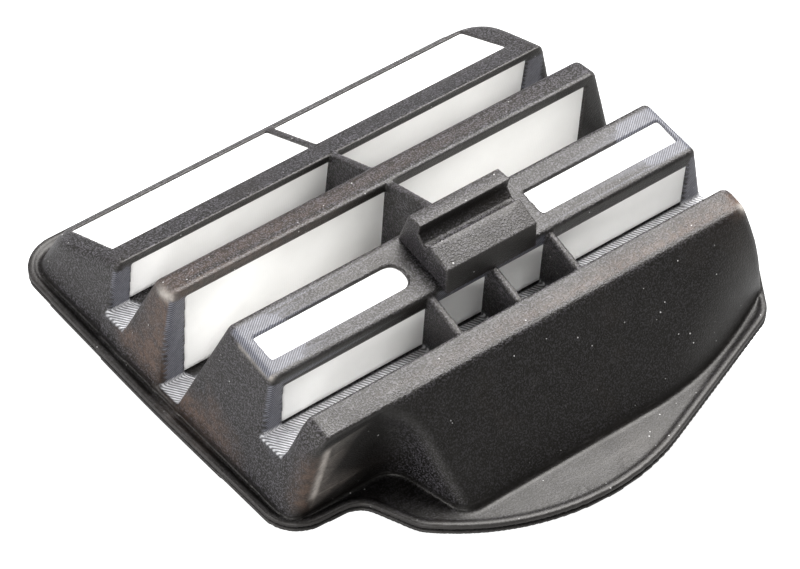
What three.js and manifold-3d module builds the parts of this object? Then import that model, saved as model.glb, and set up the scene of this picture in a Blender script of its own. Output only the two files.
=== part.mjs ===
// Two-half intake air filter of a chainsaw: a ribbed upper half with nylon screens, and a shallow
// lower half with the intake collar. Millimetres, +Z up, X along the ridges, +Y to the back.
// Heights are counted from the top face of the rim until the whole group is set on its origin.

import * as THREE from 'three';
import { mergeVertices } from 'three/addons/utils/BufferGeometryUtils.js';
import Module from 'manifold-3d';

const wasm = await Module();
wasm.setup();

// ---- driving dimensions -------------------------------------------------------------------

const WALL = 1.5; // moulded wall of both halves
const GAP = 0.3; // clearance between pieces that touch
const ENVELOPE_TOP = 30; // above every ridge
// The foot of each end wall as [x, y], from back to front, and x where the wall reaches the top.
const leftEnd = { foot: [[-51.5, 60], [-51.5, -60]], top: -47.5 };
const rightEnd = { foot: [[54.4, 60], [55.7, 3], [53.4, -27], [52.2, -60]], top: 46.8 };
const BODY_LEFT = -51.5;
const BODY_RIGHT = 55.7;
const RIM_MARGIN = 2.8; // how far the rim stands out past the body at the sides
const RIM_BACK = 49.3;
const BODY_BACK = 45.9;
const RECESS_FRONT = -36.6; // foot of the last ridge where the front block doesn't cover it
const BLOCK_FRONT = -53.7; // foot of the front block
const blockLeft = { front: -24.6, back: -28.6 }; // x of the block's left flank at its two ends
const RIM_UPPER_THICK = 1.1;
const RIM_LOWER_THICK = 0.9;

// Each ridge's crest as [y, z] of its back edge and of its front edge, from the back ridge forward.
const ridges = [
  { back: [41.4, 9.0], front: [18.8, 18.5] },
  { back: [7.4, 23.0], front: [1.8, 23.7] },
  { back: [-13.9, 28.1], front: [-27.4, 25.8] },
  { back: [-36.3, 22.8], front: [-41.0, 21.5] },
];

// The flat floors between the ridges: y of both edges, and height.
const valleys = [
  { back: 20.5, front: 15.5, floor: 6.0 },
  { back: 3.7, front: -1.5, floor: 0.6 },
  { back: -26.3, front: -31.8, floor: 12.2 },
];

const WEB = 1.5; // thickness of the webs that cross the valleys
const windowEnds = [-45.4, 46.2]; // x of the outer ends of the windows
const outerWebX = 13.4;
const websInValley = [[0], [0], [-outerWebX, 0, outerWebX]];

const SCREEN_THICK = 0.5;
const SCREEN_DEPTH = 0.4; // how far a screen lies below the wall's outer face

// The saddle's section as [y, z]: a rail at its back, a groove, and a sloping front.
const saddleSection = [
  [-13.9, 27.6], [-17.2, 35.5], [-20.7, 35.5], [-20.1, 33.2], [-21.4, 31.6], [-22.6, 31.6],
  [-23.4, 32.8], [-28.4, 30.5], [-28.4, 25.2], [-27.0, 24.6], [-14.2, 26.8]];
const saddleEnds = [-10.8, 9.5];

const TRAY_DEPTH = 5.0; // lower half, below the rim
const TRAY_INSET = 6.5; // the tray's wall, in from the rim's edge
const COLLAR_DEPTH = 5.0; // intake collar, below the tray
const intake = { y: -18, halfLength: 27, halfWidth: 16 }; // outside of the intake collar
const SEAL_HEIGHT = 1.8;
const SEAL_WIDTH = 3.0;
const trayRibs = { x: [-38, 38], front: -30, back: 36, depth: 1.2 };
const FENCE_THICK = 1.2;
const FAR = 80; // beyond the whole part in every direction

const colours = {
  shell: { color: 0x4a4747, roughness: 0.62, metalness: 0 },
  screen: { color: 0xf2f0ee, roughness: 0.8, metalness: 0 },
  seal: { color: 0x1c1c1e, roughness: 0.85, metalness: 0 },
};

// ---- solids -------------------------------------------------------------------------------

// A closed geometry as a solid that can be cut and joined.
function solid(geometry) {
  const bare = geometry.index ? geometry.toNonIndexed() : geometry;
  bare.deleteAttribute('normal');
  bare.deleteAttribute('uv');
  const welded = mergeVertices(bare, 1e-5);
  return new wasm.Manifold(new wasm.Mesh({
    numProp: 3,
    vertProperties: new Float32Array(welded.attributes.position.array),
    triVerts: new Uint32Array(welded.index.array),
  }));
}

// A finished sub-part: the solid as a named mesh with its own material.
function piece(name, body, look) {
  const mesh = body.getMesh();
  const geometry = new THREE.BufferGeometry();
  geometry.setAttribute('position', new THREE.BufferAttribute(mesh.vertProperties, 3));
  geometry.setIndex(new THREE.BufferAttribute(mesh.triVerts, 1));
  const flat = geometry.toNonIndexed();
  flat.computeVertexNormals();
  const made = new THREE.Mesh(flat, new THREE.MeshStandardMaterial(look));
  made.name = name;
  return made;
}

function box(low, high) {
  const size = high.map((h, i) => h - low[i]);
  const geometry = new THREE.BoxGeometry(...size);
  geometry.translate(...low.map((l, i) => l + size[i] / 2));
  return solid(geometry);
}

// A plan outline raised from one height to another.
function upright(shape, fromZ, toZ) {
  const depth = toZ - fromZ;
  const geometry = new THREE.ExtrudeGeometry(shape, { depth, bevelEnabled: false, curveSegments: 10 });
  geometry.translate(0, 0, fromZ);
  return solid(geometry);
}

// A section in the YZ plane drawn out along X.
function alongX(section, fromX, toX) {
  const shape = new THREE.Shape(section.map(([y, z]) => new THREE.Vector2(y, z)));
  const geometry = new THREE.ExtrudeGeometry(shape, { depth: toX - fromX, bevelEnabled: false });
  const axes = new THREE.Matrix4().makeBasis(
    new THREE.Vector3(0, 1, 0), new THREE.Vector3(0, 0, 1), new THREE.Vector3(1, 0, 0));
  geometry.applyMatrix4(axes);
  geometry.translate(fromX, 0, 0);
  return solid(geometry);
}

// ---- outlines -----------------------------------------------------------------------------

// A counter-clockwise polygon moved inwards by a distance.
function inset(points, distance) {
  const count = points.length;
  const edges = points.map(([x, y], i) => {
    const [nextX, nextY] = points[(i + 1) % count];
    const length = Math.hypot(nextX - x, nextY - y);
    const along = [(nextX - x) / length, (nextY - y) / length];
    return { from: [x - along[1] * distance, y + along[0] * distance], along };
  });
  return edges.map((edge, i) => {
    const before = edges[(i + count - 1) % count];
    const cross = before.along[0] * edge.along[1] - before.along[1] * edge.along[0];
    const gapX = edge.from[0] - before.from[0];
    const gapY = edge.from[1] - before.from[1];
    const t = (gapX * edge.along[1] - gapY * edge.along[0]) / cross;
    return [before.from[0] + before.along[0] * t, before.from[1] + before.along[1] * t];
  });
}

// A counter-clockwise polygon with a radius at each corner, given as [x, y, radius], moved inwards.
function rounded(corners, distance = 0) {
  const least = 0.3;
  const points = inset(corners, distance);
  const shape = new THREE.Shape();
  points.forEach((corner, i) => {
    const here = new THREE.Vector2(...corner);
    const before = new THREE.Vector2(...points[(i + points.length - 1) % points.length]);
    const after = new THREE.Vector2(...points[(i + 1) % points.length]);
    const into = here.clone().sub(before).normalize();
    const outOf = after.clone().sub(here).normalize();
    const turn = Math.atan2(into.cross(outOf), into.dot(outOf));
    const radius = Math.max(corners[i][2] - Math.sign(turn) * distance, least);
    const reach = radius * Math.tan(Math.abs(turn) / 2);
    const start = here.clone().addScaledVector(into, -reach);
    const side = new THREE.Vector2(-into.y, into.x).multiplyScalar(Math.sign(turn) * radius);
    const centre = start.clone().add(side);
    const startAngle = Math.atan2(-side.y, -side.x);
    if (i === 0) shape.moveTo(start.x, start.y);
    else shape.lineTo(start.x, start.y);
    shape.absarc(centre.x, centre.y, radius, startAngle, startAngle + turn, turn < 0);
  });
  shape.closePath();
  return shape;
}

const rimLeft = BODY_LEFT - RIM_MARGIN;
const rimRight = BODY_RIGHT + RIM_MARGIN;
const BOW = 1.2; // the rim's sides bow out by about this much

// The rim: bowed sides, a step in at the front left, a round lobe at the front, and a slanted
// edge up to the right side.
const rimCorners = [
  [rimLeft + BOW, RIM_BACK, 9],
  [rimLeft, 2, 300],
  [rimLeft + BOW / 2, -38.9, 7.5],
  [-38.6, -39.9, 5],
  [-34.0, -50.7, 8],
  [-10.6, -71.7, 46.5],
  [49.2, -48.2, 8],
  [rimRight - 1.7 * BOW, -37.2, 6],
  [rimRight, 5, 200],
  [rimRight - BOW, RIM_BACK, 9],
];

// The foot of the body: it follows the rim's sides, and the front block stands forward of the recess.
const blockChamfer = [[29.0, BLOCK_FRONT, 4], [53.0, -42.2, 5]];
const bodyBackLeft = [BODY_LEFT, BODY_BACK, 6];
const bodyBackRight = [54.8, BODY_BACK, 6];
const bodyMiddleRight = [BODY_RIGHT, 3, 100];
const bodyCorners = [
  bodyBackLeft,
  [BODY_LEFT, RECESS_FRONT, 3.5],
  [blockLeft.back, RECESS_FRONT, 8.5],
  [blockLeft.front, BLOCK_FRONT, 2.5],
  ...blockChamfer,
  bodyMiddleRight,
  bodyBackRight,
];

// A flat oval around the intake.
function oval(shrink) {
  const { y, halfLength, halfWidth } = intake;
  const corners = [[-1, 1], [-1, -1], [1, -1], [1, 1]].map(([sideX, sideY]) => [
    sideX * halfLength, y + sideY * halfWidth, halfWidth - 0.5]);
  return rounded(corners, shrink);
}

// ---- upper half ---------------------------------------------------------------------------

const DEEP = -12; // below everything that the upper half's hollow has to reach

// The ridges and valleys from the back of the foot to the recess at the front.
const ridgeLine = [[BODY_BACK, 0]];
ridges.forEach((ridge, i) => {
  ridgeLine.push(ridge.back, ridge.front);
  const valley = valleys[i];
  if (valley) ridgeLine.push([valley.back, valley.floor], [valley.front, valley.floor]);
});
ridgeLine.push([RECESS_FRONT, 0]);
const ridgeSection = [[BODY_BACK, DEEP], ...ridgeLine, [RECESS_FRONT, DEEP]];

// The front block under the last ridge's crest: its face slopes down and forward to the rim.
const lastRidge = ridges[ridges.length - 1];
const blockRoot = lastRidge.back[0] + 6; // the block's hollow reaches back into the last ridge's
const blockSection = [
  [blockRoot, DEEP], [blockRoot, 0], lastRidge.back, lastRidge.front, [BLOCK_FRONT, 0], [BLOCK_FRONT, DEEP]];

// The front block seen from the front: its left flank climbs and curves over into the crest.
function blockFace(distance) {
  const top = lastRidge.front[1];
  const left = blockLeft.front + distance;
  const shape = new THREE.Shape();
  shape.moveTo(left, DEEP);
  shape.lineTo(left, 0);
  const shoulder = left - 8.5;
  shape.bezierCurveTo(left - 1, top * 0.75, left - 1.4, top - distance, shoulder, top - distance);
  shape.lineTo(shoulder, FAR);
  shape.lineTo(FAR, FAR);
  shape.lineTo(FAR, DEEP);
  shape.closePath();
  return shape;
}

// An outline seen from the front, drawn out from front to back; it slides left as it goes back,
// as the flank of the block does.
function alongFlank(shape) {
  const slide = (blockLeft.back - blockLeft.front) / (RECESS_FRONT - BLOCK_FRONT);
  const geometry = new THREE.ExtrudeGeometry(shape, { depth: FAR, bevelEnabled: false, curveSegments: 8 });
  geometry.rotateX(Math.PI / 2);
  geometry.applyMatrix4(new THREE.Matrix4().makeShear(0, 0, slide, 0, 0, 0));
  geometry.translate(-slide * BLOCK_FRONT, 0, 0);
  return solid(geometry);
}

// The space between the two end walls, with both walls moved inwards by a distance.
function betweenEnds(distance) {
  const points = [leftEnd, rightEnd].flatMap(({ foot, top }) => foot.flatMap(([x, y]) => {
    const lean = (x - top) / ENVELOPE_TOP;
    const inwards = Math.sign(x) * distance * Math.hypot(1, lean);
    return [[x - inwards, y, DEEP], [x - inwards, y, 0], [top - inwards, y, ENVELOPE_TOP]];
  }));
  return wasm.Manifold.hull(points);
}

// The whole body without its rim, as a full solid, shrunk by a distance for the hollow inside it.
function bodyBlock(distance) {
  const ridgeFront = lastRidge.front[0];
  const ridgePlan = rounded([
    bodyBackLeft, [BODY_LEFT, ridgeFront, 3.5], [BODY_RIGHT, ridgeFront, 3.5],
    bodyMiddleRight, bodyBackRight], distance);
  const ridgePart = alongX(inset(ridgeSection, distance), BODY_LEFT, BODY_RIGHT)
    .intersect(upright(ridgePlan, DEEP, ENVELOPE_TOP));
  const blockPlan = rounded([
    [BODY_LEFT, 0, 1], [BODY_LEFT, BLOCK_FRONT, 1], ...blockChamfer, [BODY_RIGHT, 0, 1]], distance);
  const blockPart = alongX(inset(blockSection, distance), BODY_LEFT, BODY_RIGHT)
    .intersect(alongFlank(blockFace(distance)))
    .intersect(upright(blockPlan, DEEP, ENVELOPE_TOP));
  return ridgePart.add(blockPart).intersect(betweenEnds(distance));
}

// The webs that cross one valley, from crest to crest.
function webs(index) {
  const valley = valleys[index];
  const bite = 0.4;
  const section = [
    [ridges[index + 1].back[0] - bite, ridges[index + 1].back[1] - bite],
    [valley.front - bite, valley.floor - bite],
    [valley.back + bite, valley.floor - bite],
    [ridges[index].front[0] + bite, ridges[index].front[1] - bite],
  ];
  return websInValley[index].map((x) => alongX(section, x - WEB / 2, x + WEB / 2));
}

// ---- windows and screens ------------------------------------------------------------------

// The stretches of x between the webs of a valley.
function spans(index) {
  const stops = [windowEnds[0] - WEB / 2, ...websInValley[index], windowEnds[1] + WEB / 2];
  return stops.slice(1).map((x, i) => [stops[i] + WEB / 2, x - WEB / 2]);
}

const sideNames = { 2: ['left', 'right'], 4: ['left', 'mid_left', 'mid_right', 'right'] };

// One wall's windows: the wall runs from point a to point b in the YZ plane, and each window leaves
// a margin at both of those edges.
function windowRow(name, a, b, margins, xSpans, radii = [0.8, 0.8]) {
  return xSpans.map(([low, high], i) => ({
    name: `screen_${name}_${sideNames[xSpans.length][i]}`, a, b, margins, low, high, radii }));
}

const roofRib = 0.7;
const slotInner = 14.6; // the crest slots of the third ridge stop short of the saddle
const foot = 0.8; // margin at a valley's floor
const halves = [[windowEnds[0], -roofRib], [roofRib, windowEnds[1]]];
const slots = [[windowEnds[0], -slotInner], [slotInner, windowEnds[1]]];
const floorEdge = (i, edge) => [valleys[i][edge], valleys[i].floor];
const windows = [
  ...windowRow('ridge1_roof', ridges[0].back, ridges[0].front, [1.9, 7.0], halves),
  ...windowRow('ridge1_front', ridges[0].front, floorEdge(0, 'back'), [2.3, foot], spans(0)),
  ...windowRow('ridge2_back', floorEdge(0, 'front'), ridges[1].back, [foot, 2.3], spans(0)),
  ...windowRow('ridge2_front', ridges[1].front, floorEdge(1, 'back'), [2.5, foot], spans(1)),
  ...windowRow('ridge3_back', floorEdge(1, 'front'), ridges[2].back, [foot, 2.5], spans(1)),
  ...windowRow('ridge3_crest', ridges[2].back, ridges[2].front, [4.4, 3.6], slots, [0.8, 2.2]),
  ...windowRow('ridge3_front', ridges[2].front, floorEdge(2, 'back'), [3.3, foot], spans(2)),
  ...windowRow('ridge4_back', floorEdge(2, 'front'), ridges[3].back, [foot, 1.6], spans(2)),
];

// A rectangle in a wall's own plane, drawn out from one depth below the wall's face to another.
function inWall({ a, b, margins, low, high, radii }, clearance, fromDepth, toDepth) {
  const length = Math.hypot(b[0] - a[0], b[1] - a[1]);
  const along = new THREE.Vector3(0, (b[0] - a[0]) / length, (b[1] - a[1]) / length);
  const acrossX = new THREE.Vector3(1, 0, 0);
  const inward = acrossX.clone().cross(along);
  const [end, middle] = high < 0 ? radii : [...radii].reverse();
  const corners = [
    [low, margins[0], end], [high, margins[0], middle],
    [high, length - margins[1], middle], [low, length - margins[1], end]];
  const geometry = new THREE.ExtrudeGeometry(
    rounded(corners, clearance), { depth: toDepth - fromDepth, bevelEnabled: false, curveSegments: 4 });
  geometry.translate(0, 0, fromDepth);
  const place = new THREE.Matrix4().makeBasis(acrossX, along, inward).setPosition(0, a[0], a[1]);
  geometry.applyMatrix4(place);
  return solid(geometry);
}

function upperShell() {
  const rimPlate = upright(rounded(rimCorners), -RIM_UPPER_THICK, 0);
  const belowRim = box([-FAR, -FAR, -FAR], [FAR, FAR, -RIM_UPPER_THICK]);
  let shell = rimPlate.add(bodyBlock(0)).subtract(belowRim).subtract(bodyBlock(WALL));
  shell = shell.add(alongX(saddleSection, ...saddleEnds));
  valleys.forEach((_, i) => webs(i).forEach((web) => { shell = shell.add(web); }));
  const cutThrough = 1;
  windows.forEach((w) => { shell = shell.subtract(inWall(w, 0, -cutThrough / 4, WALL + cutThrough)); });
  return shell;
}

function screen(spec) {
  return inWall(spec, GAP, SCREEN_DEPTH, SCREEN_DEPTH + SCREEN_THICK);
}

// ---- lower half ---------------------------------------------------------------------------

const seatZ = -RIM_UPPER_THICK - GAP; // top face of the lower half's rim
const lipZ = seatZ - RIM_LOWER_THICK;
const trayZ = lipZ - TRAY_DEPTH;
const collarZ = trayZ - COLLAR_DEPTH;

// A low fence that stands inside the upper half's foot and centres the two halves.
function centringFence() {
  const clear = WALL + 0.4;
  const notchMargin = 5;
  const ring = box([-FAR, -FAR, lipZ], [FAR, FAR, -0.25])
    .intersect(bodyBlock(clear))
    .subtract(upright(rounded(bodyCorners, clear + FENCE_THICK), lipZ * 2, 1));
  const middleValley = valleys[1];
  const underMiddleValley = box(
    [-FAR, middleValley.front - notchMargin, seatZ], [FAR, middleValley.back + notchMargin, FAR]);
  const atStep = box(
    [blockLeft.back - notchMargin, RECESS_FRONT - notchMargin - 2, seatZ],
    [blockLeft.front + notchMargin, RECESS_FRONT + notchMargin, FAR]);
  return ring.subtract(underMiddleValley).subtract(atStep);
}

// Ribs on the tray's underside, from the collar to the walls.
function floorRibs() {
  const { front, back, depth } = trayRibs;
  const half = WALL / 2;
  return trayRibs.x.map((x) => box([x - half, front, trayZ - depth], [x + half, back, trayZ + half]));
}

function lowerShell() {
  let shell = upright(rounded(rimCorners), lipZ, seatZ)
    .add(upright(rounded(rimCorners, TRAY_INSET), trayZ, seatZ))
    .subtract(upright(rounded(rimCorners, TRAY_INSET + WALL), trayZ + WALL, 1))
    .add(centringFence());
  floorRibs().forEach((rib) => { shell = shell.add(rib); });
  shell = shell.add(upright(oval(0), collarZ, trayZ + WALL));
  return shell.subtract(upright(oval(WALL + 0.5), collarZ - 1, 1));
}

function intakeSeal() {
  const top = collarZ - GAP;
  const outer = upright(oval(-SEAL_WIDTH / 4), top - SEAL_HEIGHT, top);
  return outer.subtract(upright(oval(SEAL_WIDTH * 0.75), top - SEAL_HEIGHT - 1, top + 1));
}

// ---- the object ---------------------------------------------------------------------------

const filter = new THREE.Group();
filter.add(piece('upper_shell', upperShell(), colours.shell));
filter.add(piece('lower_shell', lowerShell(), colours.shell));
filter.add(piece('intake_seal', intakeSeal(), colours.seal));
windows.forEach((spec) => filter.add(piece(spec.name, screen(spec), colours.screen)));

// The origin is at the middle of the underside of the whole object's box.
const bounds = new THREE.Box3().setFromObject(filter);
const middle = bounds.getCenter(new THREE.Vector3());
filter.position.set(-middle.x, -middle.y, -bounds.min.z);

export default filter;
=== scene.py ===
"""Looks for a two-half nylon-mesh air filter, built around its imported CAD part.

The moulded halves are made as distance fields on a grid, so that every edge and corner has the
small radius of a moulding, and are then turned into meshes. Sizes here are in millimetres, counted
from the top face of the rim as in the CAD; a mesh gets its metres when it is made.
"""

import math

import bmesh
import bpy
import numpy as np
import openvdb
from mathutils import Euler, Matrix, Vector


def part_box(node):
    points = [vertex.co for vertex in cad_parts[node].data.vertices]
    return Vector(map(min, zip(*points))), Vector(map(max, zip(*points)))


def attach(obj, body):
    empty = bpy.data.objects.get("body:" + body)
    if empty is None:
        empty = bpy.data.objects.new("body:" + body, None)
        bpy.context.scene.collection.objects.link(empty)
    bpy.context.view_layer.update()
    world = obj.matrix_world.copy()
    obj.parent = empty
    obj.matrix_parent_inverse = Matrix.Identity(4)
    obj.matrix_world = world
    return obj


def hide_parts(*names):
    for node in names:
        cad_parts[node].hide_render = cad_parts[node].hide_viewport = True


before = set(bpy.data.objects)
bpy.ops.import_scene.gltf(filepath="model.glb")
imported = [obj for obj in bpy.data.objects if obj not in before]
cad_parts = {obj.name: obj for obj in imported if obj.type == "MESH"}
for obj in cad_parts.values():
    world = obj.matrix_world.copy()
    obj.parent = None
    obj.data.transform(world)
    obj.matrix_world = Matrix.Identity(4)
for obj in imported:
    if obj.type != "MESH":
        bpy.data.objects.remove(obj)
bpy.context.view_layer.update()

# ---- sizes ------------------------------------------------------------------------------------

MM = 0.001
VOXEL = 0.38
LOWER_VOXEL = VOXEL * 1.15
SADDLE_VOXEL = 0.2
GRID_LOW = (-56.5, -66.5)
GRID_HIGH = (60.0, 51.5)
WALL = 1.5
LEFT_FOOT, LEFT_LEAN = -51.5, 0.132
# The right end's foot, as y and x, from front to back; its top is straight.
RIGHT_FOOT_Y = (-60, -42, -27, -12, 3, 25, 60)
RIGHT_FOOT_X = (52.2, 52.8, 53.5, 54.7, 55.6, 55.3, 54.4)
RIGHT_TOP = 46.8
ENVELOPE_TOP = 30
BODY_BACK = 45.9
RECESS_FRONT = -36.6
BLOCK_FRONT = -53.7
CREST_FRONT = -41.0
CREST_EDGE = 0.6
BACK_EDGES = (1.5, 0.7, 0.7, 0.3)  # the radius of each crest's back edge
LAST_CREST_LEFT = -46.6  # where the bevel at the last crest's left end starts
RIM_BACK = 49.3
RIM_LEFT = LEFT_FOOT - 2.8
RIM_RIGHT = 58.5
RIM_BOW = 1.2
RIM_THICK = 1.1
BEAD_WIDTH = 1.0  # the raised edge of the rim
DISH_DEPTH = 0.45
RIM_GAP = 0.3
LOWER_RIM_THICK = 0.9
TRAY_INSET = 6.5
TRAY_DEPTH = 5.0
COLLAR_DEPTH = 5.0
INTAKE_Y, INTAKE_HALF_LENGTH, INTAKE_HALF_WIDTH = -18.0, 27.0, 16.0
SEAL_HEIGHT, SEAL_WIDTH = 1.8, 3.0
RIB_X = (-38, 38)
FENCE_GAP, FENCE_HALF_THICK, FENCE_TOP = 0.4, 0.6, -0.25
SADDLE = (-10.8, 9.5)
SADDLE_TOP = 35.5
WEB = 1.5
WINDOW_LEFT, WINDOW_RIGHT = -45.4, 46.2

# Each ridge's crest, as the (y, z) of its back edge and of its front edge, from the back forward.
RIDGES = [
    ((41.2, 9.0), (18.8, 18.5)),
    ((7.4, 23.2), (1.8, 23.9)),
    ((-13.9, 28.3), (-27.4, 25.9)),
    ((-35.8, 23.0), (CREST_FRONT, 21.5)),
]

# Each valley's floor: y of its back and front edges, and its height; and the webs that cross it.
VALLEYS = [(20.5, 15.5, 6.0), (3.7, -1.5, 0.6), (-26.3, -31.8, 12.2)]
WEBS = [(0.0,), (0.0,), (-13.4, 0.0, 13.4)]

BODY_CORNERS = [
    (LEFT_FOOT, BODY_BACK, 6),
    (LEFT_FOOT, RECESS_FRONT, 3.5),
    (-28.6, RECESS_FRONT, 1),
    (-24.6, BLOCK_FRONT, 2.5),
    (29.0, BLOCK_FRONT, 4),
    (53.0, -42.2, 5),
    (55.7, 3, 100),
    (54.8, BODY_BACK, 6),
]

# The front block, over the recess at its left: its left flank's foot, how far the flank leans and
# how far its top curls to the left; and its right front corner, which is cut back at a slant.
RECESS_LEAN = 0.205
FLANK_FOOT, FLANK_LEAN, FLANK_SPLAY = -26.0, 0.2, 0.2
CURL_START, CURL_REACH = 12.0, 5.5
CHAMFER_X, CHAMFER_Y, CHAMFER_SLANT = 31.5, -52.9, 0.48

# Where the CAD has the point that these sizes count from: on the rim's top face.
PANE_GAP = 0.3
shell_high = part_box("upper_shell")[1]
pane_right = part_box("screen_ridge2_front_right")[1].x
LIFT = Vector((pane_right - (WINDOW_RIGHT - PANE_GAP) * MM,
               shell_high.y - RIM_BACK * MM,
               shell_high.z - SADDLE_TOP * MM))


def floor_edge(index, side):
    return (VALLEYS[index][side], VALLEYS[index][2])


# ---- distance fields --------------------------------------------------------------------------

def smax(a, b, radius):
    """The overlap of two fields, with its edge rounded."""
    k = 1.17 * radius
    h = np.maximum(k - np.abs(a - b), 0.0) / k
    return np.maximum(a, b) + h * h * k * 0.25


def smin(a, b, radius):
    """The union of two fields, with a fillet where they meet."""
    return -smax(-a, -b, radius)


def plane(u, v, p, q):
    """Signed distance from the line through p and q, positive on its right-hand side."""
    du, dv = q[0] - p[0], q[1] - p[1]
    length = math.hypot(du, dv)
    return ((u - p[0]) * dv - (v - p[1]) * du) / length


def polygon(u, v, points):
    """Signed distance from a closed polygon, negative inside."""
    u, v = np.broadcast_arrays(u, v)
    nearest = np.full(u.shape, 1e9, np.float32)
    inside = np.zeros(u.shape, bool)
    for (x0, y0), (x1, y1) in zip(points, points[1:] + points[:1]):
        dx, dy = x1 - x0, y1 - y0
        t = np.clip(((u - x0) * dx + (v - y0) * dy) / (dx * dx + dy * dy), 0, 1)
        nearest = np.minimum(nearest, np.hypot(u - x0 - t * dx, v - y0 - t * dy))
        if y0 != y1:
            crosses = (y0 > v) != (y1 > v)
            inside ^= crosses & (u < x0 + (v - y0) * dx / dy)
    return np.where(inside, -nearest, nearest)


def rounded(corners):
    """The points of a closed polygon whose corners, given as (x, y, radius), are arcs."""
    points = []
    count = len(corners)
    for i, (x, y, radius) in enumerate(corners):
        here = Vector((x, y))
        into = (here - Vector(corners[i - 1][:2])).normalized()
        out = (Vector(corners[(i + 1) % count][:2]) - here).normalized()
        turn = math.atan2(into.cross(out), into.dot(out))
        start = here - into * radius * math.tan(abs(turn) / 2)
        side = Vector((-into.y, into.x)) * math.copysign(radius, turn)
        centre = start + side
        steps = max(4, math.ceil(abs(math.degrees(turn)) / 3))
        for step in range(steps + 1):
            angle = turn * step / steps
            spoke = -side
            spoke.rotate(Matrix.Rotation(angle, 2))
            points.append(tuple(centre + spoke))
    return points


class Grid:
    """A regular grid of points that a distance field is worked out on."""

    def __init__(self, low, high, step):
        self.step = step
        self.low = low
        self.x, self.y, self.z = (
            np.arange(a, b + step, step, dtype=np.float32).reshape(shape)
            for a, b, shape in zip(low, high, [(-1, 1, 1), (1, -1, 1), (1, 1, -1)]))

    def full(self, field):
        return np.broadcast_to(field, (self.x.size, self.y.size, self.z.size))

    def surface(self, field):
        """The points and faces of the surface where a field is zero."""
        grid = openvdb.FloatGrid(background=3.0)
        band = np.clip(self.full(field), -3.0, 3.0).astype(np.float32)
        grid.copyFromArray(band)
        points, quads = grid.convertToQuads(isovalue=0.0)
        return np.array(points) * self.step + np.array(self.low), np.array(quads)


# ---- the upper half's form --------------------------------------------------------------------

RIM_CORNERS = [
    (RIM_LEFT + RIM_BOW, RIM_BACK, 9),
    (RIM_LEFT, 2, 300),
    (RIM_LEFT + RIM_BOW / 2 + 0.2, -38.4, 7.5),
    (-38.6, -39.4, 5),
    (-34.0, -50.5, 8),
    (-10.6, -71.7, 46.5),
    (49.2, -48.2, 8),
    (RIM_RIGHT - 1.7 * RIM_BOW, -37.2, 6),
    (RIM_RIGHT, 5, 200),
    (RIM_RIGHT - RIM_BOW, RIM_BACK, 9),
]


def end_walls(g):
    left = LEFT_FOOT + LEFT_LEAN * g.z - g.x
    foot = np.interp(g.y, RIGHT_FOOT_Y, RIGHT_FOOT_X).astype(np.float32)
    lean = (foot - RIGHT_TOP) / ENVELOPE_TOP
    right = g.x - foot + lean * g.z
    return left, right / np.hypot(1, lean)


def front_wall(g):
    """The front of the last ridge: a recess at the left, and a block that slopes out to the rim."""
    crest_height = RIDGES[3][1][1]
    slope = (CREST_FRONT - BLOCK_FRONT) / crest_height
    recess_y = RECESS_FRONT - g.z * RECESS_LEAN
    face_y = BLOCK_FRONT + g.z * slope
    height = np.maximum(recess_y - face_y, 0.4)
    face = (face_y - g.y) / math.hypot(1, slope)
    chamfer_y = CHAMFER_Y + (g.x - CHAMFER_X) * CHAMFER_SLANT
    chamfer = (chamfer_y - g.y) / math.hypot(1, CHAMFER_SLANT)
    curl = np.clip((g.z - CURL_START) / (crest_height - CURL_START), 0, 1) ** 2.2
    flank_x = FLANK_FOOT - FLANK_SPLAY * g.z - CURL_REACH * curl
    lean = FLANK_LEAN + 0.8 * curl
    flank = (flank_x - g.x - lean * (g.y - face_y)) / np.hypot(1, lean)
    block = smax(smax(face, chamfer, 5), flank, 2.8)
    return smin(recess_y - g.y, block, np.minimum(4.5, 0.7 * height))


def body(g):
    """The ridges, the valleys between them and the front block, as one full solid."""
    left, right = end_walls(g)
    whole = None
    for i, (back_top, front_top) in enumerate(RIDGES):
        first, last = i == 0, i == len(RIDGES) - 1
        back_foot = (BODY_BACK, 0.0) if first else floor_edge(i - 1, 1)
        crest = plane(g.y, g.z, back_top, front_top)
        back = plane(g.y, g.z, back_foot, back_top)
        front = front_wall(g) if last else plane(g.y, g.z, front_top, floor_edge(i, 0))
        if first:
            back = smax(smax(back, left, 6.0), right, 6.0)
        ridge = smax(back, crest, BACK_EDGES[i])
        ridge = smax(ridge, front, CREST_EDGE)
        if last:
            bevel = (crest + LAST_CREST_LEFT - g.x) / math.sqrt(2)
            ridge = smax(ridge, bevel, 0.5)
        ridge = smax(ridge, left, 2.2 if last else 1.3)
        ridge = smax(ridge, right, 1.9 if last else 1.0)
        whole = ridge if first else np.minimum(whole, ridge)
    for back, front, floor in VALLEYS:
        fill = np.maximum(g.z - floor, np.maximum(g.y - back - 1.5, front - 1.5 - g.y))
        fill = np.maximum(fill, np.maximum(left, right))
        whole = smin(whole, fill, 0.5)
    return whole


def saddle(g):
    """The block on the third ridge: a rail at its back, a groove, and a slanted front."""
    section = [
        (-13.9, 27.0), (-17.2, SADDLE_TOP), (-20.7, SADDLE_TOP), (-20.1, 33.2), (-21.4, 31.6),
        (-22.6, 31.6), (-23.4, 32.8), (-28.4, 30.5), (-28.4, 25.0), (-26.6, 24.6), (-14.6, 26.4)]
    ends = np.maximum(SADDLE[0] - g.x, g.x - SADDLE[1])
    return smax(polygon(g.y, g.z, section) + 0.3, ends + 0.3, 0.3) - 0.3


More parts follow.
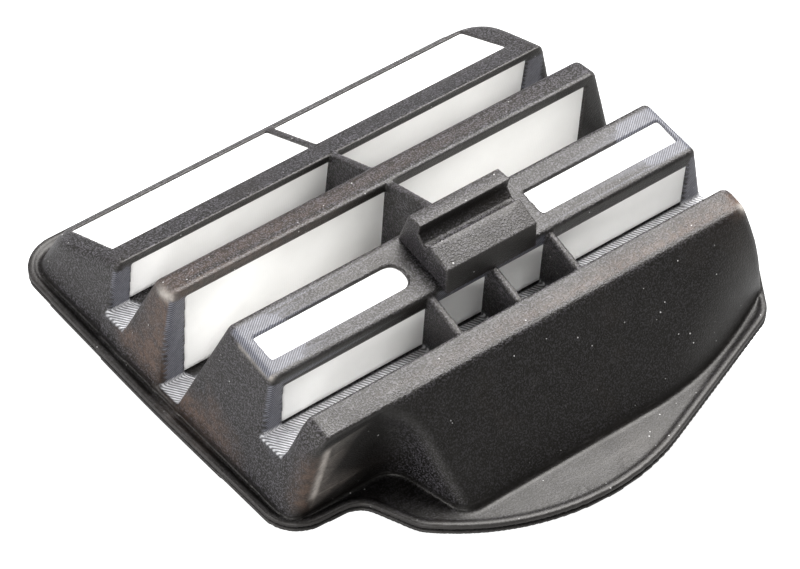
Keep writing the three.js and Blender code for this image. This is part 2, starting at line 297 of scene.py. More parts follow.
def web(g, index, x):
    """A plate across a valley, with its top edge running from crest to crest."""
    back, front, floor = VALLEYS[index]
    low_side = RIDGES[index][1]
    high_side = RIDGES[index + 1][0]
    bite = 0.5
    section = [
        (high_side[0] - bite, high_side[1] - bite), (front - bite, floor - bite),
        (back + bite, floor - bite), (low_side[0] + bite, low_side[1] - bite)]
    return smax(polygon(g.y, g.z, section), np.abs(g.x - x) - WEB / 2, 0.3)


class Wall:
    """A flat strip of the ridges' skin, between two edges in the YZ plane."""

    def __init__(self, back_edge, front_edge):
        self.a = back_edge
        self.length = math.dist(back_edge, front_edge)
        self.along = [(q - p) / self.length for p, q in zip(back_edge, front_edge)]

    def s(self, y, z):
        """How far a point lies from the wall's back edge, along the wall."""
        return (y - self.a[0]) * self.along[0] + (z - self.a[1]) * self.along[1]

    def depth(self, y, z):
        """How far a point lies below the wall's outer face."""
        return (y - self.a[0]) * -self.along[1] + (z - self.a[1]) * self.along[0]


def window_spans(index):
    stops = [WINDOW_LEFT - WEB / 2, *WEBS[index], WINDOW_RIGHT + WEB / 2]
    return [(a + WEB / 2, b - WEB / 2) for a, b in zip(stops, stops[1:])]


RIDGE_WALLS = {
    "ridge1_roof": Wall(RIDGES[0][0], RIDGES[0][1]),
    "ridge1_front": Wall(RIDGES[0][1], floor_edge(0, 0)),
    "ridge2_back": Wall(floor_edge(0, 1), RIDGES[1][0]),
    "ridge2_front": Wall(RIDGES[1][1], floor_edge(1, 0)),
    "ridge3_back": Wall(floor_edge(1, 1), RIDGES[2][0]),
    "ridge3_crest": Wall(RIDGES[2][0], RIDGES[2][1]),
    "ridge3_front": Wall(RIDGES[2][1], floor_edge(2, 0)),
    "ridge4_back": Wall(floor_edge(2, 1), RIDGES[3][0]),
    "ridge4_crest": Wall(RIDGES[3][0], RIDGES[3][1]),
}
RIB = 0.7
FOOT = -0.3
SLOT_INNER = 14.6
HALVES = [(WINDOW_LEFT, -RIB), (RIB, WINDOW_RIGHT)]

# The windows of each wall: the margins they leave at its back and front edges, and the spans of x.
WINDOWS = {
    "ridge1_roof": ((1.9, 7.0), HALVES),
    "ridge1_front": ((2.3, FOOT), window_spans(0)),
    "ridge2_back": ((FOOT, 2.3), window_spans(0)),
    "ridge2_front": ((2.5, FOOT), window_spans(1)),
    "ridge3_back": ((FOOT, 2.5), window_spans(1)),
    "ridge3_crest": ((4.4, 3.6), [(WINDOW_LEFT, -SLOT_INNER), (SLOT_INNER, WINDOW_RIGHT)]),
    "ridge3_front": ((3.3, FOOT), window_spans(2)),
    "ridge4_back": ((FOOT, 1.6), window_spans(2)),
}


def window_cut(g, name):
    """The windows of one wall, as boxes that go right through it."""
    wall = RIDGE_WALLS[name]
    margins, x_spans = WINDOWS[name]
    s = wall.s(g.y, g.z)
    across = np.maximum(margins[0] - s, s - wall.length + margins[1])
    cut = None
    for low, high in x_spans:
        inner_corner = 2.4 if high == -SLOT_INNER else 0.4
        panel = np.maximum(smax(low - g.x, across, 0.4), smax(g.x - high, across, inner_corner))
        cut = panel if cut is None else np.minimum(cut, panel)
    return np.maximum(cut, np.abs(wall.depth(g.y, g.z)) - 2.2)


def rim_plate(g):
    """The rim: a bead along its edge, a groove at the body's foot, and a shallow dish in the lobe."""
    outline = polygon(g.x, g.y, rounded(RIM_CORNERS))
    inside = -outline
    band = np.clip((inside - BEAD_WIDTH) / 0.8, 0, 1)
    dish = DISH_DEPTH * band * band * (3 - 2 * band)
    return smax(outline, g.z + dish, 0.5)


def upper_form():
    g = Grid((*GRID_LOW, -2.4), (*GRID_HIGH, 37), VOXEL)
    solid = body(g)
    shell = smin(solid, rim_plate(g), 0.35)
    for index, xs in enumerate(WEBS):
        for x in xs:
            shell = smin(shell, web(g, index, x), 0.3)
    shell = np.maximum(shell, -(solid + WALL))
    for name in WINDOWS:
        shell = smax(shell, -window_cut(g, name), 0.15)
    return g.surface(smax(shell, -RIM_THICK - g.z, 0.25))


def saddle_form():
    g = Grid((SADDLE[0] - 1, -29.5, 24), (SADDLE[1] + 1, -13, 36.5), SADDLE_VOXEL)
    return g.surface(saddle(g))


# ---- the lower half's form --------------------------------------------------------------------

SEAT = -RIM_THICK - RIM_GAP
LIP = SEAT - LOWER_RIM_THICK
TRAY = LIP - TRAY_DEPTH
COLLAR = TRAY - COLLAR_DEPTH


def slab(g, low, high):
    return np.maximum(low - g.z, g.z - high)


def oval(g, shrink):
    """A flat oval around the intake, moved inwards by a distance."""
    reach = INTAKE_HALF_LENGTH - INTAKE_HALF_WIDTH
    return np.hypot(np.maximum(np.abs(g.x) - reach, 0), g.y - INTAKE_Y) - INTAKE_HALF_WIDTH + shrink


def fence(g):
    """A low wall just inside the upper half, with gaps under the middle valley and at the step."""
    foot = np.where(g.z < 1, polygon(g.x, g.y, rounded(BODY_CORNERS)), 9)
    sides = np.abs(foot + WALL + FENCE_GAP + FENCE_HALF_THICK) - FENCE_HALF_THICK
    under_valley = np.maximum(VALLEYS[1][1] - 5 - g.y, g.y - VALLEYS[1][0] - 5)
    at_step = np.maximum(np.abs(g.x + 27.6) - 7, np.abs(g.y + 37.6) - 6)
    return np.maximum(np.maximum(sides, slab(g, LIP, FENCE_TOP)), -np.minimum(under_valley, at_step))


def lower_form():
    g = Grid((*GRID_LOW, COLLAR - 1.5), (*GRID_HIGH, 1.2), LOWER_VOXEL)
    outline = polygon(g.x, g.y, rounded(RIM_CORNERS))
    tray_wall = outline + TRAY_INSET
    lip = smax(outline, slab(g, LIP, SEAT), 0.35)
    tray = smax(tray_wall, slab(g, TRAY, SEAT), 1.2)
    shell = smin(lip, tray, 0.8)
    for x in RIB_X:
        rib = np.maximum(np.abs(g.x - x) - WALL / 2, np.maximum(-30 - g.y, g.y - 36))
        shell = smin(shell, smax(rib, slab(g, TRAY - 1.2, TRAY + 0.5), 0.2), 0.4)
    shell = smin(shell, smax(oval(g, 0), slab(g, COLLAR, TRAY + 0.5), 0.4), 1.2)
    shell = smax(shell, -smax(tray_wall + WALL, TRAY + WALL - g.z, 1.0), 0.3)
    shell = np.minimum(shell, fence(g))
    return g.surface(smax(shell, -oval(g, WALL + 0.5), 0.3))


# ---- meshes -----------------------------------------------------------------------------------

def mesh_object(name, points, faces, material):
    """A smooth mesh from points in millimetres."""
    mesh = bpy.data.meshes.new(name)
    placed = np.asarray(points) * MM + np.array(LIFT)
    mesh.from_pydata(placed.tolist(), [], [tuple(face) for face in faces])
    mesh.validate()
    mesh.materials.append(material)
    mesh.polygons.foreach_set("use_smooth", [True] * len(mesh.polygons))
    made = bpy.data.objects.new(name, mesh)
    bpy.context.scene.collection.objects.link(made)
    return made


def points_of(piece):
    """A mesh's points, in millimetres from the rim's top face."""
    flat = np.empty(len(piece.data.vertices) * 3, np.float32)
    piece.data.vertices.foreach_get("co", flat)
    return (flat.reshape(-1, 3) - np.array(LIFT)) / MM


def store(piece, name, values):
    attribute = piece.data.attributes.new(name, "FLOAT", "POINT")
    attribute.data.foreach_set("value", np.asarray(values, np.float32))


def apply_modifiers(piece):
    depsgraph = bpy.context.evaluated_depsgraph_get()
    done = bpy.data.meshes.new_from_object(piece.evaluated_get(depsgraph))
    piece.modifiers.clear()
    piece.data = done


def thin_out(piece, triangles, keep=None):
    """Fewer faces where the surface is flat, and none lost where keep is 1."""
    count = 2 * len(piece.data.polygons)
    modifier = piece.modifiers.new("thin", "DECIMATE")
    modifier.ratio = min(1.0, triangles / count)
    if keep is not None:
        group = piece.vertex_groups.new(name="keep")
        group.add(np.flatnonzero(keep > 0.05).tolist(), 1.0, "REPLACE")
        modifier.vertex_group = group.name
        modifier.invert_vertex_group = True
        modifier.vertex_group_factor = 20
    apply_modifiers(piece)
    piece.vertex_groups.clear()


def add_surface(piece, points, quads):
    """Adds a second surface, in millimetres, to a mesh."""
    extra = mesh_object("extra", points, quads, piece.data.materials[0])
    joined = bmesh.new()
    joined.from_mesh(piece.data)
    joined.from_mesh(extra.data)
    joined.to_mesh(piece.data)
    joined.free()
    bpy.data.meshes.remove(extra.data)


def stands_for(piece, body, slot, *nodes):
    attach(piece, body)
    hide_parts(*nodes)


# ---- where the mesh shows on the plastic ------------------------------------------------------

# The nylon reaches past its windows and shows through the skin here: the wall, the span of x, and
# the span of distance along the wall.
THREAD_PATCHES = [
    ("ridge1_front", (-49.6, WINDOW_LEFT), (2.2, 13)),
    ("ridge1_front", (WINDOW_RIGHT, 50.5), (2.4, 13)),
    ("ridge2_front", (-49.8, WINDOW_LEFT), (2.0, 24)),
    ("ridge3_front", (-49.2, WINDOW_LEFT), (1.6, 14)),
    ("ridge3_front", (WINDOW_RIGHT, 50.5), (1.4, 14)),
    ("ridge3_front", (-12.4, -0.8), (0.6, 3.8)),
    ("ridge3_front", (0.8, 12.4), (0.6, 3.8)),
]
# On the third ridge's crest it shows in a half-moon round each slot's outer end: the crescent's
# outer edge and its tip, in x.
CRESCENTS = [(-48.8, -37.0), (48.4, 35.5)]
CRESCENT_SPAN = (1.0, 12.8)
FLOOR_PATCH_ENDS = (-44.5, 47.5)
FLOOR_ENDS = (-51.0, 52.0)
COVERED_FLOOR = 2  # the valley whose whole floor shows the nylon
SKEW = 0.5  # the threads lie at a slant to the ridges
CREST_SKEW = 0.8
FLOOR_THREADS = 0.72  # they are further apart on the floors, where the mesh is stretched


def soft_span(value, low, high, edge=0.35):
    return np.clip((value - low) / edge, 0, 1) * np.clip((high - value) / edge, 0, 1)


def on_walls(x, y, z):
    """For each patch on a wall: how much of it lies at each point, and the distance along it."""
    for name, x_span, s_span in THREAD_PATCHES:
        wall = RIDGE_WALLS[name]
        s = wall.s(y, z)
        ragged = 0.35 * np.sin(5.1 * s) + 0.2 * np.sin(11.7 * s)
        near = soft_span(wall.depth(y, z), -0.5, 0.9)
        yield near * soft_span(x + ragged, *x_span) * soft_span(s, *s_span), s + SKEW * x
    wall = RIDGE_WALLS["ridge3_crest"]
    s = wall.s(y, z)
    near = soft_span(wall.depth(y, z), -0.8, 0.9)
    middle = sum(CRESCENT_SPAN) / 2
    for outer, tip in CRESCENTS:
        curved_tip = tip + math.copysign(0.1, outer) * (s - middle) ** 2
        ragged = 0.3 * np.sin(3.1 * s) + 0.15 * np.sin(9.7 * s)
        low, high = (outer, curved_tip + ragged) if outer < 0 else (curved_tip + ragged, outer)
        yield near * soft_span(x, low, high, 0.6) * soft_span(s, *CRESCENT_SPAN), s + CREST_SKEW * x


def on_floors(x, y, z):
    """The same for the valleys' floors: their ends show it, and one floor does all along."""
    for index, (back, front, floor) in enumerate(VALLEYS):
        on_floor = soft_span(z, floor - 0.8, floor + 0.9) * soft_span(y, front - 0.6, back + 0.6)
        outside = np.maximum(FLOOR_PATCH_ENDS[0] - x, x - FLOOR_PATCH_ENDS[1])
        slant = 60 if index == COVERED_FLOOR else 0.5 * (back - y)
        ends = soft_span(x, *FLOOR_ENDS)
        yield on_floor * np.clip((outside + slant) / 0.5, 0, 1) * ends, FLOOR_THREADS * x + SKEW * y


def thread_patches(points):
    """How much of the nylon shows at each point, and the distance across its threads."""
    x, y, z = points.T
    shows = np.zeros(len(points))
    along = np.zeros(len(points))
    for here, distance in [*on_walls(x, y, z), *on_floors(x, y, z)]:
        along = np.where(here > shows, distance, along)
        shows = np.maximum(shows, here)
    return shows, along


def bare_nylon(points):
    """How thin the plastic lies over the nylon: it is thinnest on the valleys' floors."""
    x, y, z = points.T
    between_ends = soft_span(x, *FLOOR_PATCH_ENDS, 1.5)
    floors = [here * (0.75 + 0.25 * between_ends) for here, _ in on_floors(x, y, z)]
    return np.maximum.reduce(floors)


# Marks along strokes: the two ends of a stroke, in millimetres, and how far it spreads. The brown
# ones are where handling has left stains; the pale ones are wear with a painted highlight on rounded
# corners.
BROWN_MARKS = [
    ((-50.5, 6, 8), (-49, 3, 21), 4.5),
    ((48.2, -38.4, 22), (47, -39, 21.5), 2.2),
    ((-51, -12, 3), (-50.5, 14, 6), 3),
    ((-48.2, -39.6, 14), (-49.2, -37.6, 5), 2.6),
]
# Pale strokes: partly wear, partly painted highlight along rounded corners and ends.
PALE_WEAR_AND_HIGHLIGHT_MARKS = [
    ((-48.9, 5.2, 22.4), (-48.6, 2.2, 22.6), 1.1),
    ((-45.9, -40.3, 17.5), (-47.3, -37.7, 5), 0.9),
    ((-48.2, -18, 27), (-47.8, -26.5, 26), 0.7),
    ((47.6, -40.4, 21.3), (48.6, -40.4, 21), 0.8),
]



def marks(points, strokes):
    """How strongly the strokes mark each point, from 0 to 1: handling stains, or pale wear with
    painted highlight.
    """
    total = np.zeros(len(points))
    for start, end, spread in strokes:
        start, way = np.array(start), np.array(end) - np.array(start)
        along = np.clip((points - start) @ way / (way @ way), 0, 1)
        distance = np.linalg.norm(points - start - along[:, None] * way, axis=1)
        total = np.maximum(total, np.exp(-(distance / spread) ** 2))
    return total


# ---- screens ----------------------------------------------------------------------------------

SCREEN_MARGIN = 1.6
SHEET_DEPTH = 0.62  # how far the sheet's middle lies below the walls' faces
SHEET_THICK = 0.16
SHEET_SAG = 0.3
SHEET_CELL, SHEET_STEP = 0.9, 1.1  # the size of its faces, along its path and across it


def offset_path(path, distance):
    """An open path in the YZ plane, moved to its left."""
    lines = []
    for p, q in zip(path, path[1:]):
        p, q = Vector(p), Vector(q)
        side = Vector((p.y - q.y, q.x - p.x)).normalized() * distance
        lines.append((p + side, q + side))
    moved = [lines[0][0]]
    for (p, q), (r, t) in zip(lines, lines[1:]):
        first, second = q - p, t - r
        reach = (r - p).cross(second) / first.cross(second)
        moved.append(p + first * reach)
    moved.append(lines[-1][1])
    return moved


def sheet_rows(path):
    """The points down a sheet, along its path, and how far each lies from the path's start."""
    corners = offset_path(path, SHEET_DEPTH)
    rows, run = [], []
    total = 0.0
    for p, q in zip(corners, corners[1:]):
        length = (q - p).length
        steps = max(2, round(length / SHEET_CELL))
        for step in range(steps):
            rows.append(p.lerp(q, step / steps))
            run.append(total + length * step / steps)
        total += length
    return [*rows, corners[-1]], [*run, total]


def grid_faces(rows, columns):
    """The faces of a sheet whose points are listed row by row."""
    return [(r * columns + c, r * columns + c + 1, (r + 1) * columns + c + 1, (r + 1) * columns + c)
            for r in range(rows - 1) for c in range(columns - 1)]


def screen(name, path, windows, material):
    """A sheet of nylon mesh that follows a ridge's walls, a little slack in its windows."""
    rows, run = sheet_rows(path)
    low, high = WINDOW_LEFT - SCREEN_MARGIN, WINDOW_RIGHT + SCREEN_MARGIN
    xs = np.linspace(low, high, round((high - low) / SHEET_STEP) + 1)
    points = np.array([[(x, row.x, row.y) for x in xs] for row in rows])
    for wall_name in windows:
        sag_into(points, wall_name)
    piece = mesh_object(name, points.reshape(-1, 3), grid_faces(len(rows), len(xs)), material)
    store(piece, "along", np.repeat(run, len(xs)))
    thickness = piece.modifiers.new("thickness", "SOLIDIFY")
    thickness.thickness = SHEET_THICK * MM
    thickness.offset = 0
    apply_modifiers(piece)
    return piece, (high - low, run[-1])


def sag_into(points, wall_name):
    """Lets the sheet hang slightly into each window of a wall."""
    wall = RIDGE_WALLS[wall_name]
    margins, x_spans = WINDOWS[wall_name]
    x, y, z = points[..., 0], points[..., 1], points[..., 2]
    s = wall.s(y, z)
    on_wall = np.abs(wall.depth(y, z) - SHEET_DEPTH) < 0.05
    v = np.clip((s - margins[0]) / (wall.length - sum(margins)), 0, 1)
    for low, high in x_spans:
        u = np.clip((x - low) / (high - low), 0, 1)
        slack = SHEET_SAG * np.sin(np.pi * u) ** 0.5 * np.sin(np.pi * v) * on_wall
        points[..., 1] += -wall.along[1] * slack
        points[..., 2] += wall.along[0] * slack


# Each ridge's sheet: the walls it covers, and the path it follows round them.
SHEETS = {
    "ridge1": (["ridge1_roof", "ridge1_front"],
               [(40.3, 9.38), RIDGES[0][1], (20.45, 6.4)]),
    "ridge2": (["ridge2_back", "ridge2_front"],
               [(15.3, 6.4), RIDGES[1][0], RIDGES[1][1], (3.67, 1.0)]),
    "ridge3": (["ridge3_back", "ridge3_crest", "ridge3_front"],
               [(-1.7, 1.0), RIDGES[2][0], RIDGES[2][1], (-26.33, 12.6)]),
    "ridge4": (["ridge4_back"],
               [(-31.9, 12.4), (-35.85, 21.85)]),
}


# ---- intake seal ------------------------------------------------------------------------------

def intake_seal(material):
    """A rubber ring swept round the oval, with a small lip on its lower face."""
    top = COLLAR - RIM_GAP
    bottom = top - SEAL_HEIGHT
    half = SEAL_WIDTH / 2
    section = [
        (-half + 0.3, top), (half - 0.3, top), (half, top - 0.3), (half, bottom + 0.5),
        (half - 0.4, bottom), (0.5, bottom), (0.3, bottom + 0.35), (-0.3, bottom + 0.35),
        (-0.5, bottom), (-half + 0.4, bottom), (-half, bottom + 0.5), (-half, top - 0.3)]
    middle = INTAKE_HALF_WIDTH - SEAL_WIDTH / 4
    reach = INTAKE_HALF_LENGTH - INTAKE_HALF_WIDTH
    stops = []
    for end in (1, -1):
        for angle in np.linspace(-90, 90, 37) if end == 1 else np.linspace(90, 270, 37):
            a = math.radians(angle)
            stops.append((end * reach, math.cos(a), math.sin(a)))
    points = []
    for centre, cos, sin in stops:
        for out, z in section:
            points.append((centre + (middle + out) * cos, INTAKE_Y + (middle + out) * sin, z))
    n, m = len(section), len(stops)
    faces = [(i * n + j, i * n + (j + 1) % n, (i + 1) % m * n + (j + 1) % n, (i + 1) % m * n + j)
             for i in range(m) for j in range(n)]
    ring = mesh_object("intake_seal_ring", points, faces, material)
    bevel = ring.modifiers.new("soft_edges", "BEVEL")
    bevel.width = 0.15 * MM
    bevel.segments = 2
    apply_modifiers(ring)
    return ring


# ---- materials --------------------------------------------------------------------------------

BLACK_NYLON = (0.003, 0.0026, 0.002)
GREY_TIPS = (0.08, 0.075, 0.085)
# Pale scuffs, and also the painted reflection streaks on the rim and painted highlights on bent
# edges.
PALE_SCUFF_AND_HIGHLIGHT = (0.17, 0.16, 0.155)
# Pale strokes: partly wear, partly painted highlight.
PALE_WEAR_AND_HIGHLIGHT = (0.5, 0.46, 0.42)
BROWN_STAIN = (0.14, 0.085, 0.06)
WHITE_DUST = (0.62, 0.61, 0.6)


class Look:
    """A material's node tree, with short calls to add to it."""

    def __init__(self, name):
        self.material = bpy.data.materials.new(name)
        self.material.use_nodes = True
        self.tree = self.material.node_tree
        self.surface = self.tree.nodes["Principled BSDF"]
        self.place = self.add("ShaderNodeTexCoord").outputs["Object"]

    def add(self, kind, **settings):
        node = self.tree.nodes.new(kind)
        for key, value in settings.items():
            setattr(node, key, value)
        return node

    def put(self, value, socket):
        if isinstance(value, bpy.types.NodeSocket):
            self.tree.links.new(value, socket)
        else:
            socket.default_value = value

    def noise(self, size_mm, detail=2.0, rough=0.5, stretch=(1, 1, 1)):
        """Cloudy noise, from 0 to 1, with features of about this size."""
        mapping = self.add("ShaderNodeMapping")
        mapping.inputs["Scale"].default_value = stretch
        self.put(self.place, mapping.inputs["Vector"])
        node = self.add("ShaderNodeTexNoise")
        node.inputs["Scale"].default_value = 1 / (size_mm * MM)
        node.inputs["Detail"].default_value = detail
        node.inputs["Roughness"].default_value = rough
        self.put(mapping.outputs[0], node.inputs["Vector"])
        return node.outputs["Fac"]

    def specks(self, spacing_mm, radius):
        """Small round dots, 1 inside and 0 outside."""
        node = self.add("ShaderNodeTexVoronoi")
        node.inputs["Scale"].default_value = 1 / (spacing_mm * MM)
        self.put(self.place, node.inputs["Vector"])
        return self.ramp(node.outputs["Distance"], radius, 0.6 * radius)

    def ramp(self, value, start, end):
        """0 where value is at start, 1 where it is at end, and a smooth step between."""
        node = self.add("ShaderNodeMapRange", interpolation_type="SMOOTHSTEP")
        node.inputs["From Min"].default_value = start
        node.inputs["From Max"].default_value = end
        self.put(value, node.inputs["Value"])
        return node.outputs[0]

    def math(self, operation, *values):
        node = self.add("ShaderNodeMath", operation=operation)
        for value, socket in zip(values, node.inputs):
            self.put(value, socket)
        return node.outputs[0]

    def times(self, a, b):
        return self.math("MULTIPLY", a, b)

    def scale(self, value, gain, offset):
        return self.math("MULTIPLY_ADD", value, gain, offset)

    def mix(self, factor, a, b):
        node = self.add("ShaderNodeMix", data_type="RGBA")
        self.put(factor, node.inputs["Factor"])
        self.put(a if not isinstance(a, tuple) else (*a, 1), node.inputs["A"])
        self.put(b if not isinstance(b, tuple) else (*b, 1), node.inputs["B"])
        return node.outputs["Result"]

    def attribute(self, name):
        return self.add("ShaderNodeAttribute", attribute_name=name).outputs["Fac"]

    def threads(self, position, pitch):
        """Rounded ridges, one for each thread, from 0 between threads to 1 on them."""
        turn = self.times(position, 2 * math.pi / pitch)
        return self.ramp(self.math("SINE", turn), -0.7, 0.7)

    def axis(self, index):
        node = self.add("ShaderNodeSeparateXYZ")
        self.put(self.place, node.inputs[0])
        return node.outputs[index]

    def bump(self, layers):
        """Adds bumps one on another, each given as (height, strength, depth in millimetres)."""
        normal = None
        for height, strength, depth_mm in layers:
            node = self.add("ShaderNodeBump")
            node.inputs["Strength"].default_value = strength
            node.inputs["Distance"].default_value = depth_mm * MM
            self.put(height, node.inputs["Height"])
            if normal is not None:
                self.put(normal, node.inputs["Normal"])
            normal = node.outputs[0]
        self.put(normal, self.surface.inputs["Normal"])

    def finish(self, colour, roughness):
        self.put(colour, self.surface.inputs["Base Color"])
        self.put(roughness, self.surface.inputs["Roughness"])
        return self.material


def speckled(look, grain, coarse):
    """Black plastic with grey-tipped grain; the tips are painted light, fading where the surface
    faces front to paint shade there.
    """
    tips = look.ramp(grain, 0.46, 0.64)
    # Painted shade: the grain's grey tips fade where the surface faces front.
    grain_lit_here = look.times(look.attribute("grain_lit_by_facing"), coarse)
    return look.mix(look.times(tips, grain_lit_here), BLACK_NYLON, GREY_TIPS)


def handled(look, colour, worn, rim, scuff, smudge):
    """The stains and scuffs of handling over a colour, with pale strokes and bent edges that are
    partly wear and partly painted highlight, and painted reflection streaks along the rim.
    """
    stain = look.ramp(look.noise(14, detail=3.0), 0.5, 0.75)
    # Painted reflection: pale streaks along the rim.
    reflection_streak = look.ramp(look.noise(1.2, detail=5.0, rough=0.7, stretch=(0.12, 1, 1)), 0.5, 0.8)
    brown = look.times(look.attribute("brown"), look.scale(smudge, 0.45, 0.2))
    # Painted highlight mixed with wear: the pale strokes.
    pale = look.times(look.attribute("pale"), look.scale(smudge, 0.35, 0.6))
    colour = look.mix(look.times(stain, 0.3), colour, worn)
    colour = look.mix(look.times(scuff, 0.06), colour, PALE_SCUFF_AND_HIGHLIGHT)
    colour = look.mix(look.times(look.times(reflection_streak, rim), 0.2), colour, PALE_SCUFF_AND_HIGHLIGHT)
    colour = look.mix(brown, colour, BROWN_STAIN)
    # Painted highlight mixed with wear: bent edges drawn pale.
    colour = look.mix(look.times(look.attribute("edge"), 0.12), colour, PALE_SCUFF_AND_HIGHLIGHT)
    return look.mix(pale, colour, PALE_WEAR_AND_HIGHLIGHT)


def nylon_through(look, colour, smudge):
    """The nylon's threads, where the plastic over them is thin."""
    threads = look.threads(look.attribute("along"), 0.5)
    weave = look.times(threads, look.scale(smudge, 0.4, 0.6))
    bare = look.attribute("bare")
    between = look.mix(bare, (0.045, 0.045, 0.055), (0.16, 0.16, 0.165))
    thread = look.mix(bare, (0.2, 0.205, 0.24), (0.85, 0.85, 0.87))
    return look.mix(look.attribute("shows"), colour, look.mix(weave, between, thread))


def dusted(look, colour):
    """White dust, in patches."""
    patches = look.ramp(look.noise(9), 0.45, 0.6)
    dust = look.times(look.specks(2.2, 0.08), patches)
    return look.mix(look.times(dust, 0.8), colour, WHITE_DUST)


def moulded_look(name, worn):
    """Dark moulded nylon: fine speckled grain, brownish handling stains and specks of white dust.

    The rim is smoother than the rest, with painted reflections as pale streaks along it; painted
    highlights lie on bent edges and pale strokes, and painted shade where the surface faces front.
    """
    look = Look(name)
    rim = look.ramp(look.axis("Z"), LIFT.z + 1.4 * MM, LIFT.z + 0.5 * MM)
    coarse = look.scale(rim, -0.7, 1.0)
    grain = look.noise(0.33, detail=1.0, rough=0.6)
    scuff = look.ramp(look.noise(1.8, detail=4.0, rough=0.65, stretch=(0.3, 1, 1)), 0.58, 0.78)
    smudge = look.ramp(look.noise(1.4, detail=4.0, rough=0.7), 0.35, 0.65)
    colour = speckled(look, grain, coarse)
    colour = handled(look, colour, worn, rim, scuff, smudge)
    colour = nylon_through(look, colour, smudge)
    colour = dusted(look, colour)
    roughness = look.scale(look.noise(5, detail=4), 0.18, 0.36)
    look.surface.inputs["Specular IOR Level"].default_value = 0.42
    look.surface.inputs["Specular Tint"].default_value = (1.0, 0.97, 0.93, 1.0)
    fine = look.times(grain, coarse)
    look.bump([(fine, 1.0, 0.1), (look.noise(1.1, detail=2), 0.2, 0.05), (scuff, 0.15, 0.05)])
    return look.finish(colour, roughness)


def nylon_look():
    """White woven nylon: threads both ways, a little dust and a faint warm tint."""
    look = Look("woven_nylon")
    across = look.threads(look.axis("X"), 0.42 * MM)
    along = look.threads(look.attribute("along"), 0.42)
    weave = look.times(across, along)
    cloud = look.noise(12, detail=3)
    colour = look.mix(look.ramp(cloud, 0.3, 0.7), (0.93, 0.925, 0.91), (0.87, 0.865, 0.85))
    colour = look.mix(look.times(weave, 0.1), colour, (0.74, 0.735, 0.72))
    look.bump([(weave, 0.35, 0.04), (cloud, 0.1, 0.4)])
    look.surface.inputs["Sheen Weight"].default_value = 0.15
    roughness = look.scale(cloud, 0.2, 0.6)
    return look.finish(colour, roughness)


def rubber_look():
    look = Look("seal_rubber")
    grain = look.noise(0.5, detail=3)
    cloud = look.noise(7, detail=3)
    colour = look.mix(look.ramp(cloud, 0.35, 0.7), (0.018, 0.018, 0.02), (0.045, 0.043, 0.042))
    look.bump([(grain, 0.3, 0.05)])
    roughness = look.scale(grain, 0.25, 0.55)
    return look.finish(colour, roughness)


# ---- pieces -----------------------------------------------------------------------------------

def normals_of(piece):
    flat = np.empty(len(piece.data.vertices) * 3, np.float32)
    piece.data.vertex_normals.foreach_get("vector", flat)
    return flat.reshape(-1, 3)


def grain_lit_by_facing(piece):
    """How strongly the grain's grey tips show at each point, as painted light: least where the
    surface faces front, to paint shade there.
    """
    return np.clip(1.15 + 1.1 * normals_of(piece)[:, 1], 0.08, 1)


def edge_wear_and_highlight(piece):
    """How sharply the surface bends outwards at each point, from 0 to 1, used for pale wear and
    painted highlight along the edges.
    """
    mesh = piece.data
    count = len(mesh.vertices)
    points = points_of(piece)
    normals = normals_of(piece)
    pairs = np.empty(len(mesh.edges) * 2, np.int32)
    mesh.edges.foreach_get("vertices", pairs)
    a, b = pairs.reshape(-1, 2).T
    way = points[b] - points[a]
    length = np.maximum(np.linalg.norm(way, axis=1), 1e-6)
    bend = np.einsum("ij,ij->i", normals[b] - normals[a], way) / length ** 2
    total = np.bincount(a, bend, count) + np.bincount(b, bend, count)
    number = np.bincount(a, minlength=count) + np.bincount(b, minlength=count)
    return np.clip((total / np.maximum(number, 1) - 0.15) / 0.6, 0, 1)


UPPER_TRIANGLES = 185000
LOWER_TRIANGLES = 150000


def make_upper(look):
    shell = mesh_object("upper_half_shell", *upper_form(), look)
    add_surface(shell, *saddle_form())
    points = points_of(shell)
    shows, _ = thread_patches(points)
    thin_out(shell, UPPER_TRIANGLES, keep=np.maximum(shows, marks(points, PALE_WEAR_AND_HIGHLIGHT_MARKS) - 0.1))
    points = points_of(shell)
    shows, along = thread_patches(points)
    store(shell, "shows", shows)
    store(shell, "along", along)
    # The masks for bent edges and pale strokes carry painted highlight mixed with wear; the grain
    # mask paints shade where the surface faces front.
    store(shell, "edge", edge_wear_and_highlight(shell))
    store(shell, "brown", marks(points, BROWN_MARKS))
    store(shell, "pale", marks(points, PALE_WEAR_AND_HIGHLIGHT_MARKS))
    store(shell, "bare", bare_nylon(points))
    store(shell, "grain_lit_by_facing", grain_lit_by_facing(shell))
    stands_for(shell, "upper_half", "shell", "upper_shell")


def make_screens(look):
    for ridge, (walls, path) in SHEETS.items():
        piece, (width, length) = screen(f"nylon_sheet_{ridge}", path, walls, look)
        nodes = [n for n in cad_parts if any(n.startswith(f"screen_{wall}") for wall in walls)]
        stands_for(piece, "upper_half", "screen", *nodes)


def make_lower(look, rubber):
    shell = mesh_object("lower_half_shell", *lower_form(), look)
    thin_out(shell, LOWER_TRIANGLES)
    # The mask for bent edges carries painted highlight mixed with wear; the grain mask paints shade
    # where the surface faces front.
    store(shell, "edge", edge_wear_and_highlight(shell))
    store(shell, "grain_lit_by_facing", grain_lit_by_facing(shell))
    stands_for(shell, "lower_half", "shell", "lower_shell")
    stands_for(intake_seal(rubber), "lower_half", "seal", "intake_seal")


# ---- stage ------------------------------------------------------------------------------------

def make_stage():
    half = 3.0
    mesh = bpy.data.meshes.new("floor")
    mesh.from_pydata([(-half, -half, 0), (half, -half, 0), (half, half, 0), (-half, half, 0)],
                     [], [(0, 1, 2, 3)])
    floor = bpy.data.objects.new("floor", mesh)
    bpy.context.scene.collection.objects.link(floor)
    look = Look("light_table")
    seen = look.add("ShaderNodeLightPath").outputs["Is Camera Ray"]
    look.put(seen, look.surface.inputs["Emission Strength"])
    look.surface.inputs["Emission Color"].default_value = (1, 1, 1, 1)
    mesh.materials.append(look.finish((0.45, 0.45, 0.45, 1), 0.9))


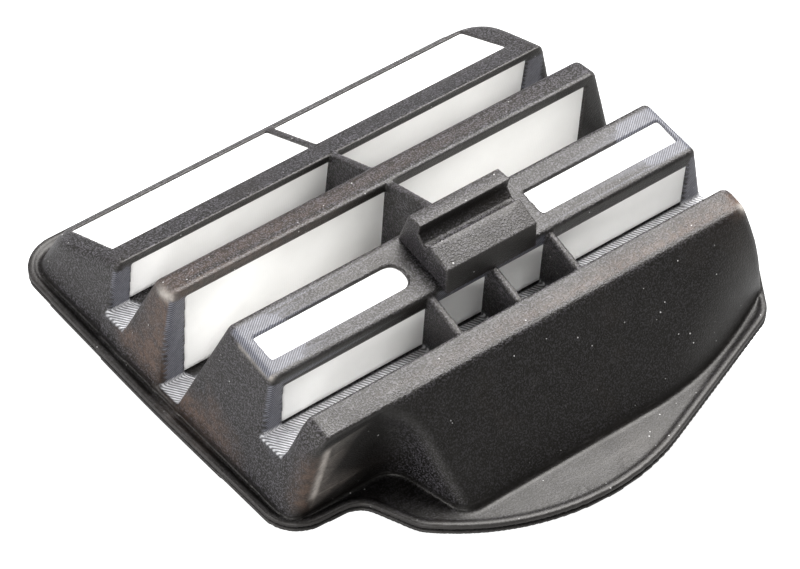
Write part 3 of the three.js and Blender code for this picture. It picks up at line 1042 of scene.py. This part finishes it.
def area_light(name, position, target, size, power):
    data = bpy.data.lights.new(name, "AREA")
    data.energy = power
    data.shape = "RECTANGLE"
    data.size, data.size_y = size
    lamp = bpy.data.objects.new(name, data)
    lamp.location = position
    lamp.rotation_euler = (Vector(target) - Vector(position)).to_track_quat("-Z", "Y").to_euler()
    bpy.context.scene.collection.objects.link(lamp)


def make_lights():
    world = bpy.data.worlds.new("studio")
    world.use_nodes = True
    background = world.node_tree.nodes["Background"]
    background.inputs["Color"].default_value = (1, 1, 1, 1)
    seen = world.node_tree.nodes.new("ShaderNodeLightPath").outputs["Is Camera Ray"]
    strength = world.node_tree.nodes.new("ShaderNodeMapRange")
    strength.inputs["To Min"].default_value = 0.11
    world.node_tree.links.new(seen, strength.inputs["Value"])
    world.node_tree.links.new(strength.outputs["Result"], background.inputs["Strength"])
    bpy.context.scene.world = world
    area_light("overhead", (0.36, 0.12, 0.78), (0, 0, 0), (0.7, 0.6), 20.5)
    area_light("front_left", (-0.6, -0.42, 0.16), (0, 0, 0.02), (0.12, 0.12), 1.9)
    area_light("left", (-0.7, 0.2, 0.3), (0, 0, 0.02), (0.3, 0.3), 3)
    bpy.context.scene.view_settings.view_transform = "Standard"


# The camera, fitted to the photo: its place in millimetres from the rim, and its angles in degrees.
CAMERA_LENS = 171.1
CAMERA_PLACE = (-307.5, -398.9, 492.2)
CAMERA_DOWN, CAMERA_HEADING = 44.4, -37.7


def make_camera():
    data = bpy.data.cameras.new("camera")
    data.sensor_width = 36
    data.lens = CAMERA_LENS
    camera = bpy.data.objects.new("camera", data)
    camera.location = LIFT + Vector(CAMERA_PLACE) * MM
    camera.rotation_euler = Euler((math.radians(90 - CAMERA_DOWN), 0, math.radians(CAMERA_HEADING)))
    bpy.context.scene.collection.objects.link(camera)
    bpy.context.scene.camera = camera


make_camera()
make_upper(moulded_look("moulded_nylon", (0.016, 0.011, 0.008)))
make_screens(nylon_look())
make_lower(moulded_look("moulded_nylon_lower", (0.016, 0.012, 0.01)), rubber_look())
make_stage()
make_lights()
